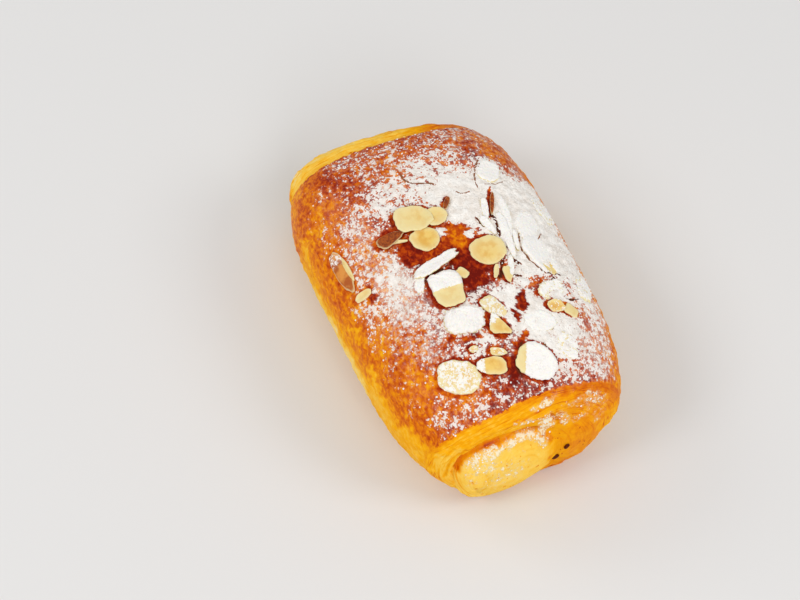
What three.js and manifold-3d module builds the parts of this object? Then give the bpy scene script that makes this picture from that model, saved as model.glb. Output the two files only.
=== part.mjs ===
// Almond croissant: a short thick roll of laminated dough, baked flat on its base,
// with flaked almonds stuck to its glazed crown. Millimetres, +Z up, base on z = 0.
// X runs along the roll. The core has pushed out as a tongue at the +X end.

import * as THREE from 'three';
import { mergeVertices } from 'three/addons/utils/BufferGeometryUtils.js';
import Module from 'manifold-3d';

const wasm = await Module();
wasm.setup();

// Driving dimensions of the roll
const width = 80;
const height = 49;
const rimHalf = 53.5; // middle of the roll to the edge of its browned skin
const endNarrowing = { share: 0.16, power: 4.4 }; // how the width closes in towards the rims
const endDrop = { share: 0.16, power: 3.7 }; // how the crown drops towards the rims
const taper = 0.01; // the +X end is this share narrower than the middle
const lean = 0.05; // the ends are this much out of square
const beltShare = 0.45; // height of the widest line, as a share of the crown's height
const crownPower = 2.6; // squareness of the section above the belt
const basePower = 3.2; // squareness below the belt
const baseSink = 2; // how far the rounded section would pass below the flat base
const tuck = { side: 0.18, end: 0.19, endPower: 4, power: 1.5 }; // how the sides draw in under the belt
const swell = { depth: 0.5, pitchX: 15, startX: 2.1, pitchAngle: 0.55, startAngle: 0.6 }; // uneven rise

// The two ends: a domed band under the rim, a crease, and the core inside the crease
const nearEnd = {
  side: 1,
  reach: 6.4, // rim to the crease, along the roll
  crease: 1.8, // depth of the crease
  core: { y: -8.5, z: 16, ry: 17, rz: 14.5, rise: 5, topY: -19, topZ: 10.5 },
  cheek: { y: 16.5, z: 15, ry: 15.5, rz: 15, rise: 2.3 },
};
const farEnd = {
  side: -1,
  reach: 6.4,
  crease: 1.4,
  core: { y: -14, z: 20, ry: 16, rz: 13, rise: 3.5, topY: -15, topZ: 22 },
  cheek: { y: -16.5, z: 25, ry: 14.5, rz: 13, rise: 0.8 },
};
const cheekFade = { outer: 1.15, inner: 0.3, fullStep: 0.6 }; // how a cheek blends into the band
const creaseSpan = { shutY: 14, openY: -4, below: 4, above: 6, startStep: 0.7 }; // where the crease is open
const layers = { count: 3, height: 0.4, narrow: 4, wide: 14 }; // edges of the folded dough
const outlinePower = 2.6; // squareness of the crease's outline
const bandRound = { power: 2.2, blunt: 0.55 }; // how the band rounds over from the rim
const coreRound = { power: 2.4, blunt: 0.7 }; // how the core rounds over from the crease
const lip = { height: 0.4, step: 0.04 }; // where the browned skin ends

// Facets
const around = 60;
const bodySpans = 24;
const bandSpans = 12;
const coreSteps = [0.93, 0.8, 0.6, 0.38, 0.18, 0];
const flakeSides = 12;
const weld = 1e-4;

// Almond flakes
const flakeThickness = 1.2;
const flakeSink = 0.45; // depth of a flake's underside in the crust
const flakeTaper = 0.16; // one end of a flake is this much narrower
const flakeBend = 0.8; // share of the crust's curve that a flake follows
const bendSpan = 3; // the crust's curve is read this far to each side of a flake's middle

// Each flake: along, across, length, width, heading from +X, tilt about its length, height of its seat
const flakes = [
  [-15.8, -7.2, 12.6, 10.2, 75, 0, 0.9],
  [-13.9, -0.4, 8, 7, 100, 0, 0.5],
  [-7.4, -6.8, 9.4, 9.2, 0, 0, 0.1],
  [-12.6, -16.4, 9.8, 5.4, 98, -18, 0.4],
  [-10.5, -15.4, 7.6, 1.2, 74, 0, 0.5],
  [-17.3, 4.9, 5.6, 1.8, -35, 20, 0.2],
  [4.2, 9.7, 11.4, 11.4, 0, 6, 0.4],
  [12.5, -8, 13.6, 10, -4, 0, 0.3],
  [2.7, -7.6, 17, 4.4, 105, -12, 0.6],
  [6.6, -14.9, 8, 3.4, -22, 10, 0.1],
  [25.1, -7.6, 12.8, 9.8, 78, 0, 0.2],
  [9, -1.3, 4.2, 3.4, 30, 0, 0.1],
  [24.2, 2.6, 9, 5.4, 28, 0, 0],
  [31, 1.2, 9.6, 6.4, 20, 0, 0.4],
  [41.4, -16.8, 13.4, 11.4, 62, 0, 0],
  [42.2, -6.2, 9.6, 6, 72, 0, 0.5],
  [38.8, -2.4, 5.4, 2.8, 66, 0, 0],
  [35.2, -9.2, 3, 2.2, 100, 0, 0],
  [45.6, 7.8, 13.2, 11.6, 38, 0, 0.1],
  [12.8, 8.6, 5.6, 1.6, -27, 25, 0.3],
  [14.8, 11.8, 6.6, 2.8, -12, 0, 0.2],
  [12.2, 14, 8.4, 2, -20, 14, 0.1],
  [-4.4, 13.6, 9, 2.4, 14, 14, 0.2],
  [0.5, 17.7, 19.5, 3, -8, 10, 0.2],
  [-6.5, 20.6, 17, 3.2, -13, 12, 0.1],
  [-12.2, 18.5, 9.4, 1.4, -25, 0, 0.3],
  [10.6, 25.4, 17, 9.4, 12, -3, -0.1],
  [-25.6, 23.2, 10.4, 7.8, -22, 4, -0.2],
  [23.8, 22.8, 10, 6, 104, 8, -0.15],
  [33.6, 14.3, 10.8, 7.4, 76, 0, -0.3],
  [30.2, 21.4, 6.2, 4.4, 64, 18, 0.4],
  [32.5, 25.5, 5.6, 4.2, 36, 0, 0.2],
  [-1, 25.8, 14.5, 8, -18, 0, -0.1],
  [3.4, 19.6, 9, 1.5, -15, 14, 0.35],
  [-11, 15.4, 9, 2.2, -16, 12, 0.2],
  [43.5, 19.3, 10, 7, 20, 0, -0.2],
  [-11.6, -33.4, 17, 5.2, 2, -8, 0.3],
  [-11.4, -31.9, 10, 1.8, 3, 0, 0.2],
  [0.3, -31.2, 6.6, 3, 92, 0, 0.1],
  [-8, 35, 12, 7.6, 15, 0, -0.1],
  [24, 34, 11, 7, -20, 0, 0],
];

function smoothstep(from, to, value) {
  const t = THREE.MathUtils.clamp((value - from) / (to - from), 0, 1);
  return t * t * (3 - 2 * t);
}

function signedPower(value, power) {
  return Math.sign(value) * Math.abs(value) ** power;
}

// Half width, crown height and belt height at a station, from -1 at one rim to 1 at the other
function stationSizes(station) {
  const reach = Math.abs(station);
  const narrowing = 1 - endNarrowing.share * reach ** endNarrowing.power;
  const crown = height * (1 - endDrop.share * reach ** endDrop.power);
  return {
    half: (width / 2) * narrowing * (1 - taper * station),
    crown,
    belt: beltShare * crown,
  };
}

// A point of the browned skin. The angle runs from +Y over the crown.
function skinPoint(station, angle) {
  const { half, crown, belt } = stationSizes(station);
  const c = Math.cos(angle);
  const s = Math.sin(angle);
  const power = 2 / (s >= 0 ? crownPower : basePower);
  const rise = Math.abs(s) ** power;
  const alongWave = Math.sin((station * rimHalf) / swell.pitchX + swell.startX);
  const uneven = swell.depth * alongWave * Math.sin(angle / swell.pitchAngle + swell.startAngle);
  let y = half * signedPower(c, power);
  let z = belt + (crown - belt + uneven) * rise;
  if (s < 0) {
    z = Math.max(0, belt - (belt + baseSink) * rise);
    const under = 1 - z / belt;
    y *= 1 - (tuck.side + tuck.end * station ** tuck.endPower) * under ** tuck.power;
  }
  return new THREE.Vector3(station * rimHalf + lean * y, y, z);
}

// How much of a rounded bulge's height is left at a point of an end
function bulge(form, y, z) {
  const far = Math.hypot((y - form.y) / form.ry, (z - form.z) / form.rz);
  return form.rise * smoothstep(cheekFade.outer, cheekFade.inner, far);
}

// A point of the band between the rim, at step 0, and the crease, at step 1
function bandPoint(end, step, angle) {
  const rim = skinPoint(end.side, angle);
  const outlineY = end.core.y + end.core.ry * signedPower(Math.cos(angle), 2 / outlinePower);
  const outlineZ = end.core.z + end.core.rz * signedPower(Math.sin(angle), 2 / outlinePower);
  const y = THREE.MathUtils.lerp(rim.y, outlineY, step);
  const z = THREE.MathUtils.lerp(rim.z, outlineZ, step);
  const round = end.reach * (1 - (1 - step) ** bandRound.power) ** bandRound.blunt;
  const swelling = bulge(end.cheek, y, z) * smoothstep(0, cheekFade.fullStep, step);
  const openY = smoothstep(creaseSpan.shutY, creaseSpan.openY, y);
  const openZ = smoothstep(end.core.z - creaseSpan.below, end.core.z + creaseSpan.above, z);
  const groove = end.crease * openY * openZ * smoothstep(creaseSpan.startStep, 1, step);
  const breadth = Math.hypot(outlineY - rim.y, outlineZ - rim.z);
  const layerHeight = layers.height * smoothstep(layers.narrow, layers.wide, breadth);
  const ridge = layerHeight * Math.sin(Math.PI * layers.count * step) ** 2;
  const out = round + swelling + ridge - groove - lip.height * smoothstep(0, lip.step, step);
  return new THREE.Vector3(end.side * (rimHalf + out) + lean * y, y, z);
}

// A point of the core, whose rings shrink from the crease, at step 1, to its top, at step 0
function corePoint(end, step, angle) {
  const crease = bandPoint(end, 1, angle);
  const y = THREE.MathUtils.lerp(end.core.topY, crease.y, step);
  const z = THREE.MathUtils.lerp(end.core.topZ, crease.z, step);
  const level = end.side * (crease.x - lean * crease.y);
  const top = rimHalf + end.reach + end.core.rise;
  const out = THREE.MathUtils.lerp(level, top, (1 - step ** coreRound.power) ** coreRound.blunt);
  return new THREE.Vector3(end.side * out + lean * y, y, z);
}

// One closed skin over the whole roll: a sphere's grid, each row of it moved to a ring of the roll
function rollGeometry() {
  const bandSteps = [lip.step];
  for (let i = 1; i <= bandSpans; i++) {
    bandSteps.push(i / bandSpans);
  }
  const endRings = (end) => [
    ...bandSteps.map((step) => (angle) => bandPoint(end, step, angle)),
    ...coreSteps.map((step) => (angle) => corePoint(end, step, angle)),
  ];
  const rings = endRings(nearEnd).reverse();
  for (let i = 0; i <= bodySpans; i++) {
    rings.push((angle) => skinPoint(1 - (2 * i) / bodySpans, angle));
  }
  rings.push(...endRings(farEnd));

  const geometry = new THREE.SphereGeometry(1, around, rings.length - 1);
  const position = geometry.getAttribute('position');
  rings.forEach((ring, row) => {
    for (let column = 0; column <= around; column++) {
      const angle = ((column % around) / around) * 2 * Math.PI - Math.PI / 2;
      position.setXYZ(row * (around + 1) + column, ...ring(angle));
    }
  });
  return geometry;
}

// The crust under a flake: its middle, two directions along it, its outward direction and its bends
function crustFrame(along, across) {
  const station = (along - lean * across) / rimHalf;
  const { half } = stationSizes(station);
  const angle = Math.acos(signedPower(across / half, crownPower / 2));
  const turn = bendSpan / half;
  const middle = skinPoint(station, angle);
  const before = skinPoint(station - bendSpan / rimHalf, angle);
  const after = skinPoint(station + bendSpan / rimHalf, angle);
  const left = skinPoint(station, angle + turn);
  const right = skinPoint(station, angle - turn);
  const alongX = after.clone().sub(before).normalize();
  const acrossY = right.clone().sub(left).normalize();
  const out = alongX.clone().cross(acrossY).normalize();
  const bend = (a, b) => {
    const sag = middle.clone().multiplyScalar(2).sub(a).sub(b).dot(out) / 2;
    return (2 * sag) / (a.distanceTo(b) / 2) ** 2;
  };
  return { middle, alongX, acrossY, out, bendX: bend(before, after), bendY: bend(left, right) };
}

// A flake: a thin egg-shaped slice, bent to the crust and bedded in it down to its underside
function flakeGeometry([along, across, length, breadth, heading, tilt, seat]) {
  const crust = crustFrame(along, across);
  const geometry = new THREE.CylinderGeometry(1, 1, flakeThickness, flakeSides);
  geometry.rotateX(Math.PI / 2);
  const position = geometry.getAttribute('position');
  const turn = THREE.MathUtils.degToRad(heading);
  const slope = Math.sin(THREE.MathUtils.degToRad(tilt));
  const vertex = new THREE.Vector3();
  for (let i = 0; i < position.count; i++) {
    vertex.fromBufferAttribute(position, i);
    const a = (vertex.x * length) / 2;
    const b = ((vertex.y * breadth) / 2) * (1 - flakeTaper * vertex.x);
    const x = a * Math.cos(turn) - b * Math.sin(turn);
    const y = a * Math.sin(turn) + b * Math.cos(turn);
    const drop = (flakeBend * (crust.bendX * x * x + crust.bendY * y * y)) / 2;
    const upper = vertex.z > 0 ? flakeThickness + seat + b * slope : 0;
    const lift = upper - flakeSink - drop;
    vertex.copy(crust.middle).addScaledVector(crust.alongX, x);
    vertex.addScaledVector(crust.acrossY, y).addScaledVector(crust.out, lift);
    position.setXYZ(i, ...vertex);
  }
  return geometry;
}

function solidOf(geometry) {
  geometry.deleteAttribute('normal');
  geometry.deleteAttribute('uv');
  const merged = mergeVertices(geometry, weld);
  const vertProperties = new Float32Array(merged.getAttribute('position').array);
  const triVerts = new Uint32Array(merged.index.array);
  return new wasm.Manifold(new wasm.Mesh({ numProp: 3, vertProperties, triVerts }));
}

function geometryOf(solid) {
  const mesh = solid.getMesh();
  const geometry = new THREE.BufferGeometry();
  geometry.setAttribute('position', new THREE.BufferAttribute(mesh.vertProperties, 3));
  geometry.setIndex(new THREE.BufferAttribute(mesh.triVerts, 1));
  geometry.computeVertexNormals();
  return geometry;
}

let pastry = solidOf(rollGeometry());
for (const flake of flakes) {
  pastry = pastry.add(solidOf(flakeGeometry(flake)));
}

const crust = new THREE.MeshStandardMaterial({ color: 0xc07a2c, roughness: 0.45, metalness: 0 });
const croissant = new THREE.Mesh(geometryOf(pastry), crust);
croissant.name = 'croissant';

const part = new THREE.Group();
part.add(croissant);

export default part;
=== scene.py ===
import math

import bmesh
import bpy
import numpy as np
from mathutils import Matrix, Vector


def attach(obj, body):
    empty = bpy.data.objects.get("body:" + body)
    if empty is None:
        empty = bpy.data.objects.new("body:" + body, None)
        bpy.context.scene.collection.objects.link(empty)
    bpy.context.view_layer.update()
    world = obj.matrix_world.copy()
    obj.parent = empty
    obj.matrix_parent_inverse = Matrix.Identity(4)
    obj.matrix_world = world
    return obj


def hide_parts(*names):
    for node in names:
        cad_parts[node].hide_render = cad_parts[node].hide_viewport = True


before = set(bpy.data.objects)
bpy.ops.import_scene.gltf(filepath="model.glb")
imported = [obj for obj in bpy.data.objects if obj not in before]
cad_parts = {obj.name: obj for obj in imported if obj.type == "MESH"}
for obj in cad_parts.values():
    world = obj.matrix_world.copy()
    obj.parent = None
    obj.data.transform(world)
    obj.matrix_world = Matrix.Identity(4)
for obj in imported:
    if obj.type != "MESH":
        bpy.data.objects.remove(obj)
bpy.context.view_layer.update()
mm = 0.001
print("frame loaded")


# camera and light

view = {
    "azimuth": 64.5,             # degrees, 0 looks along +Y
    "elevation": 57.0,
    "distance": 0.9,
    "target": (0.0, 0.0, 0.020),
    "targetPixel": (453.0, 298.5),   # where the target falls in the picture
    "picture": (800.0, 600.0),
    "focalPixels": 2772.0,
    "sensor": 36.0,
}


def addCamera():
    az = math.radians(view["azimuth"])
    el = math.radians(view["elevation"])
    back = Vector((math.sin(az) * math.cos(el), -math.cos(az) * math.cos(el), math.sin(el)))
    right = Vector((math.cos(az), math.sin(az), 0.0))
    up = back.cross(right)
    wide, high = view["picture"]
    offX = (view["targetPixel"][0] - wide / 2) / view["focalPixels"]
    offY = (view["targetPixel"][1] - high / 2) / view["focalPixels"]
    forward = (-back - right * offX + up * offY).normalized()
    right = forward.cross(Vector((0, 0, 1))).normalized()
    up = right.cross(forward)
    data = bpy.data.cameras.new("camera")
    data.sensor_width = view["sensor"]
    data.lens = view["focalPixels"] / wide * view["sensor"]
    camera = bpy.data.objects.new("camera", data)
    bpy.context.collection.objects.link(camera)
    turn = Matrix((right, up, -forward)).transposed()
    place = Vector(view["target"]) + back * view["distance"]
    camera.matrix_world = Matrix.Translation(place) @ turn.to_4x4()
    bpy.context.scene.camera = camera


lights = {
    "world": (0.97, 0.985, 1.0),
    "worldStrength": 0.55,
    "softboxes": [               # name, place, size, watts
        ("leftSoftbox", (-0.02, -1.05, 1.0), 0.5, 4.2),
        ("backSoftbox", (-0.95, -0.75, 0.8), 0.5, 2.6),
        ("frontSoftbox", (1.2, -0.2, 0.9), 0.6, 5.4),
        ("rightSoftbox", (0.75, 0.95, 1.05), 0.6, 5.6),
    ],
}


def addLights():
    world = bpy.data.worlds.new("studio")
    world.use_nodes = True
    shade = world.node_tree.nodes["Background"]
    shade.inputs["Color"].default_value = (*lights["world"], 1)
    shade.inputs["Strength"].default_value = lights["worldStrength"]
    bpy.context.scene.world = world
    for name, place, size, watts in lights["softboxes"]:
        data = bpy.data.lights.new(name, "AREA")
        data.size = size
        data.energy = watts
        lamp = bpy.data.objects.new(name, data)
        lamp.matrix_world = (Matrix.Translation(place)
                             @ (-Vector(place)).to_track_quat("-Z", "Y").to_matrix().to_4x4())
        bpy.context.collection.objects.link(lamp)


# node values that add and multiply like numbers, so that a tree is written as plain sums

class Flow:
    def __init__(self, socket):
        self.socket, self.tree = socket, socket.id_data

    __add__ = lambda self, other: calc("ADD", self, other)
    __sub__ = lambda self, other: calc("SUBTRACT", self, other)
    __rsub__ = lambda self, other: calc("SUBTRACT", other, self)
    __mul__ = lambda self, other: calc("MULTIPLY", self, other)
    __truediv__ = lambda self, other: calc("DIVIDE", self, other)
    __rtruediv__ = lambda self, other: calc("DIVIDE", other, self)
    __pow__ = lambda self, other: calc("POWER", self, other)
    __abs__ = lambda self: calc("ABSOLUTE", self)


def fill(node, inputs):          # a node value is linked, anything else is set
    for name, value in inputs.items():
        if isinstance(value, Flow):
            value.tree.links.new(value.socket, node.inputs[name])
        else:
            node.inputs[name].default_value = value


def addNode(tree, kind, inputs=None, **settings):
    made = tree.nodes.new(kind)
    for name, value in settings.items():
        setattr(made, name, value)
    fill(made, inputs or {})
    return made


def put(tree, kind, inputs=None, output=0, **settings):
    return Flow(addNode(tree, kind, inputs, **settings).outputs[output])


def calc(operation, *values):
    tree = next(value.tree for value in values if isinstance(value, Flow))
    return put(tree, "ShaderNodeMath", dict(enumerate(values)), operation=operation)


def spread(value, low, high, toLow=0.0, toHigh=1.0):     # eased step from low to high
    limits = {"Value": value, "From Min": low, "From Max": high, "To Min": toLow, "To Max": toHigh}
    return put(value.tree, "ShaderNodeMapRange", limits, interpolation_type="SMOOTHSTEP")


def grain(place, size, detail=2.0, rough=0.5, distort=0.0):      # noise with blobs of about this size
    return put(place.tree, "ShaderNodeTexNoise", {"Vector": place, "Scale": 1 / size, "Detail": detail,
                                                  "Roughness": rough, "Distortion": distort})


def joined(*parts):
    return put(parts[0].tree, "ShaderNodeCombineXYZ", dict(enumerate(parts)))


def apart(vector):
    made = addNode(vector.tree, "ShaderNodeSeparateXYZ", {0: vector})
    return [Flow(socket) for socket in made.outputs]


def scaled(vector, scale):
    return put(vector.tree, "ShaderNodeVectorMath", {0: vector, "Scale": scale}, operation="SCALE")


def tint(factor, first, second):
    return put(factor.tree, "ShaderNodeMix", {0: factor, 6: first, 7: second}, 2, data_type="RGBA")


def srgb(red, green, blue):      # colours are written as they look, 0 to 255
    def straight(value):
        value /= 255
        return value / 12.92 if value <= 0.04045 else ((value + 0.055) / 1.055) ** 2.4
    return (straight(red), straight(green), straight(blue), 1.0)


def rampOf(value, stops):
    made = addNode(value.tree, "ShaderNodeValToRGB", {"Fac": value})
    band = made.color_ramp
    while len(band.elements) < len(stops):
        band.elements.new(0.5)
    for element, (at, colour) in zip(band.elements, stops):
        element.position = at
        element.color = colour
    return Flow(made.outputs[0])


def newMaterial(name):
    material = bpy.data.materials.new(name)
    material.use_nodes = True
    tree = material.node_tree
    tree.nodes.clear()
    shader = tree.nodes.new("ShaderNodeBsdfPrincipled")
    addNode(tree, "ShaderNodeOutputMaterial", {"Surface": Flow(shader.outputs[0])})
    return material, tree, shader


def millimetres(tree):           # object coordinates, in millimetres
    return scaled(put(tree, "ShaderNodeTexCoord", output="Object"), 1 / mm)


def reading(tree, name):         # a value stored on the mesh, in a material
    return put(tree, "ShaderNodeAttribute", output="Fac", attribute_name=name)


def stored(tree, name):          # the same in a geometry tree
    return put(tree, "GeometryNodeInputNamedAttribute", {"Name": name}, "Attribute", data_type="FLOAT")


def marked(geometry, name, value):       # stores a value on the mesh
    return put(geometry.tree, "GeometryNodeStoreNamedAttribute",
               {"Geometry": geometry, "Name": name, "Value": value}, data_type="FLOAT", domain="POINT")


def newTree(name, kind, inputs, outputs):        # sockets by name and kind
    tree = bpy.data.node_groups.new(name, kind)
    for way, sockets in (("INPUT", inputs), ("OUTPUT", outputs)):
        for label, socketKind in sockets.items():
            tree.interface.new_socket(label, in_out=way, socket_type="NodeSocket" + socketKind)
    given = {socket.name: Flow(socket) for socket in tree.nodes.new("NodeGroupInput").outputs}
    return tree, given, tree.nodes.new("NodeGroupOutput")


def newGeometryTree(name, sizes):
    kinds = {label: "Int" if isinstance(value, int) else "Float" for label, value in sizes.items()}
    whole = {"Geometry": "Geometry"}
    return newTree(name, "GeometryNodeTree", {**whole, **kinds}, whole)


def endTree(geometry, result, material):
    real = put(geometry.tree, "GeometryNodeRealizeInstances", {"Geometry": geometry})
    painted = put(geometry.tree, "GeometryNodeSetMaterial", {"Geometry": real, "Material": material})
    fill(result, {"Geometry": painted})


def bakeTree(piece, tree, values):       # runs the tree once and keeps the plain mesh
    modifier = piece.modifiers.new(tree.name, "NODES")
    modifier.node_group = tree
    for socket in tree.interface.items_tree:
        if socket.in_out == "INPUT" and socket.name in values:
            modifier[socket.identifier] = values[socket.name]
    depsgraph = bpy.context.evaluated_depsgraph_get()
    mesh = bpy.data.meshes.new_from_object(piece.evaluated_get(depsgraph))
    piece.modifiers.clear()
    used = piece.data
    piece.data = mesh
    bpy.data.meshes.remove(used)


def newPiece(name, points, faces):
    mesh = bpy.data.meshes.new(name)
    mesh.from_pydata(points, [], faces)
    piece = bpy.data.objects.new(name, mesh)
    bpy.context.collection.objects.link(piece)
    return piece


def store(mesh, name, values):
    layer = mesh.attributes.new(name, "FLOAT", "POINT")
    layer.data.foreach_set("value", np.ascontiguousarray(values, dtype=np.float32).ravel())


def readPoints(mesh):
    points = np.empty(len(mesh.vertices) * 3)
    mesh.vertices.foreach_get("co", points)
    return points.reshape(-1, 3)


def readLayer(mesh, name):
    values = np.empty(len(mesh.vertices), dtype=np.float32)
    mesh.attributes[name].data.foreach_get("value", values)
    return values


def smooth(piece):
    piece.data.polygons.foreach_set("use_smooth", np.ones(len(piece.data.polygons), dtype=bool))


def ease(low, high, value):
    t = np.clip((value - low) / (high - low), 0, 1)
    return t * t * (3 - 2 * t)


def signedPower(value, power):
    return np.sign(value) * np.abs(value) ** power


# the roll of dough, in millimetres, to the same rule as the solid

roll = {
    "width": 80.0,
    "height": 49.0,
    "rimHalf": 53.5,             # middle to the edge of the browned skin
    "narrowShare": 0.16, "narrowPower": 4.4,
    "dropShare": 0.16, "dropPower": 3.7,
    "taper": 0.01,
    "lean": 0.05,                # the ends are this much out of square
    "belt": 0.45,                # height of the widest line, as a share of the crown's
    "crownPower": 2.6, "basePower": 3.2,
    "sink": 2.0,
    "tuckSide": 0.18, "tuckEnd": 0.19, "tuckPower": 1.5,
    "swell": 0.5, "swellAlong": 15.0, "swellAngle": 0.55, "swellStart": (2.1, 0.6),
    "columns": 400,
    "topShare": 0.82, "topAngle": 25.0,  # share of the columns above this angle under level
    "skinRows": 165, "bandRows": 22, "coreRows": 19, "bandCrowd": 1.25,
}
nearEnd = {                      # core and cheek are across, up, half width, half height
    "side": 1, "reach": 6.4, "crease": 1.8,
    "core": (-8.5, 16.0, 17.0, 14.5), "coreRise": 5.0, "coreTop": (-19.0, 10.5),
    "cheek": (16.5, 15.0, 15.5, 15.0), "cheekRise": 2.3,
}
farEnd = {
    "side": -1, "reach": 6.4, "crease": 1.4,
    "core": (-14.0, 20.0, 16.0, 13.0), "coreRise": 3.5, "coreTop": (-15.0, 22.0),
    "cheek": (-16.5, 25.0, 14.5, 13.0), "cheekRise": 0.8,
}
endRound = {                     # pairs are where an effect starts and where it is full
    "outline": 2.6, "band": 2.2, "bandBlunt": 0.55, "core": 2.4, "coreBlunt": 0.7,
    "lip": 0.4, "lipStep": (0, 0.04),
    "cheekFade": (1.15, 0.3), "cheekStep": (0, 0.6),
    "creaseAcross": (14, -4), "creaseUp": (-4, 6), "creaseStep": (0.7, 1),
    "layers": 3, "layerHeight": 0.4, "layerFade": (4.0, 14.0),   # edges of the folded dough
    "farSkin": 1.8, "farStation": (0, -0.5),     # the browned skin ends this far before the far rim
    "lap": 2.6,                  # and laps this far over the near one, towards -Y
    "lapAcross": (12.0, -16.0), "lapUp": (26, 36), "lapAlong": (0, 30),
    "nearFrom": (-0.1, -0.5), "farFrom": (-2.5, -3.0),
}


def stationSizes(station):       # half width, crown and belt, station -1 to 1 from rim to rim
    out = np.abs(station)
    crown = roll["height"] * (1 - roll["dropShare"] * out ** roll["dropPower"])
    half = roll["width"] / 2 * (1 - roll["narrowShare"] * out ** roll["narrowPower"])
    return half * (1 - roll["taper"] * station), crown, roll["belt"] * crown


def skinPoint(station, angle):   # the angle runs from +Y over the crown
    half, crown, belt = stationSizes(station)
    c, s = np.cos(angle), np.sin(angle)
    power = np.where(s >= 0, 2 / roll["crownPower"], 2 / roll["basePower"])
    rise = np.abs(s) ** power
    alongStart, angleStart = roll["swellStart"]
    uneven = (roll["swell"] * np.sin(station * roll["rimHalf"] / roll["swellAlong"] + alongStart)
              * np.sin(angle / roll["swellAngle"] + angleStart))
    y = half * signedPower(c, power)
    z = np.where(s >= 0, belt + (crown - belt + uneven) * rise,
                 np.maximum(0, belt - (belt + roll["sink"]) * rise))
    under = np.clip(1 - z / belt, 0, 1)
    y = y * (1 - (roll["tuckSide"] + roll["tuckEnd"] * station ** 4) * under ** roll["tuckPower"])
    return np.stack([station * roll["rimHalf"] + roll["lean"] * y, y, z + 0 * y], -1)


def bandPoint(end, step, angle):         # step 0 at the rim, 1 at the crease
    rim = skinPoint(np.float64(end["side"]), angle)
    coreY, coreZ, coreWide, coreHigh = end["core"]
    power = 2 / endRound["outline"]
    edgeY = coreY + coreWide * signedPower(np.cos(angle), power)
    edgeZ = coreZ + coreHigh * signedPower(np.sin(angle), power)
    y = rim[..., 1] * (1 - step) + edgeY * step
    z = rim[..., 2] * (1 - step) + edgeZ * step
    cheekY, cheekZ, cheekWide, cheekHigh = end["cheek"]
    far = np.hypot((y - cheekY) / cheekWide, (z - cheekZ) / cheekHigh)
    cheek = end["cheekRise"] * ease(*endRound["cheekFade"], far) * ease(*endRound["cheekStep"], step)
    opened = ease(*endRound["creaseAcross"], y) * ease(*endRound["creaseUp"], z - coreZ)
    groove = end["crease"] * opened * ease(*endRound["creaseStep"], step)
    dome = end["reach"] * (1 - (1 - step) ** endRound["band"]) ** endRound["bandBlunt"]
    broad = ease(*endRound["layerFade"], np.hypot(edgeY - rim[..., 1], edgeZ - rim[..., 2]))
    ridge = endRound["layerHeight"] * broad * np.sin(math.pi * endRound["layers"] * step) ** 2
    out = dome + cheek + ridge - groove - endRound["lip"] * ease(*endRound["lipStep"], step)
    return np.stack([end["side"] * (roll["rimHalf"] + out) + roll["lean"] * y, y, z], -1)


def corePoint(end, step, angle):         # step 1 at the crease, 0 at the top of the core
    crease = bandPoint(end, np.float64(1), angle)
    topY, topZ = end["coreTop"]
    y = topY * (1 - step) + crease[..., 1] * step
    z = topZ * (1 - step) + crease[..., 2] * step
    level = end["side"] * (crease[..., 0] - roll["lean"] * crease[..., 1])
    top = roll["rimHalf"] + end["reach"] + end["coreRise"]
    out = level + (top - level) * (1 - step ** endRound["core"]) ** endRound["coreBlunt"]
    return np.stack([end["side"] * out + roll["lean"] * y, y, z], -1)


def ringAngles():                # closer together over the crown than under the base
    low = math.radians(roll["topAngle"])
    t = np.arange(roll["columns"]) / roll["columns"]
    share = roll["topShare"]
    over = -low + (math.pi + 2 * low) * t / share
    under = math.pi + low + (math.pi - 2 * low) * (t - share) / (1 - share)
    join = round(roll["columns"] * (1 - share) / 2)      # first and last meet under the base
    return np.roll(np.where(t < share, over, under)[None, :], join, axis=1)


# how far the bake and the sugar have gone, at each place on the dough
# spots are along, across, half length, half width, turn in degrees, amount
# a spot's edge is where it starts and where it is full, in shares of its half sizes

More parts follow.
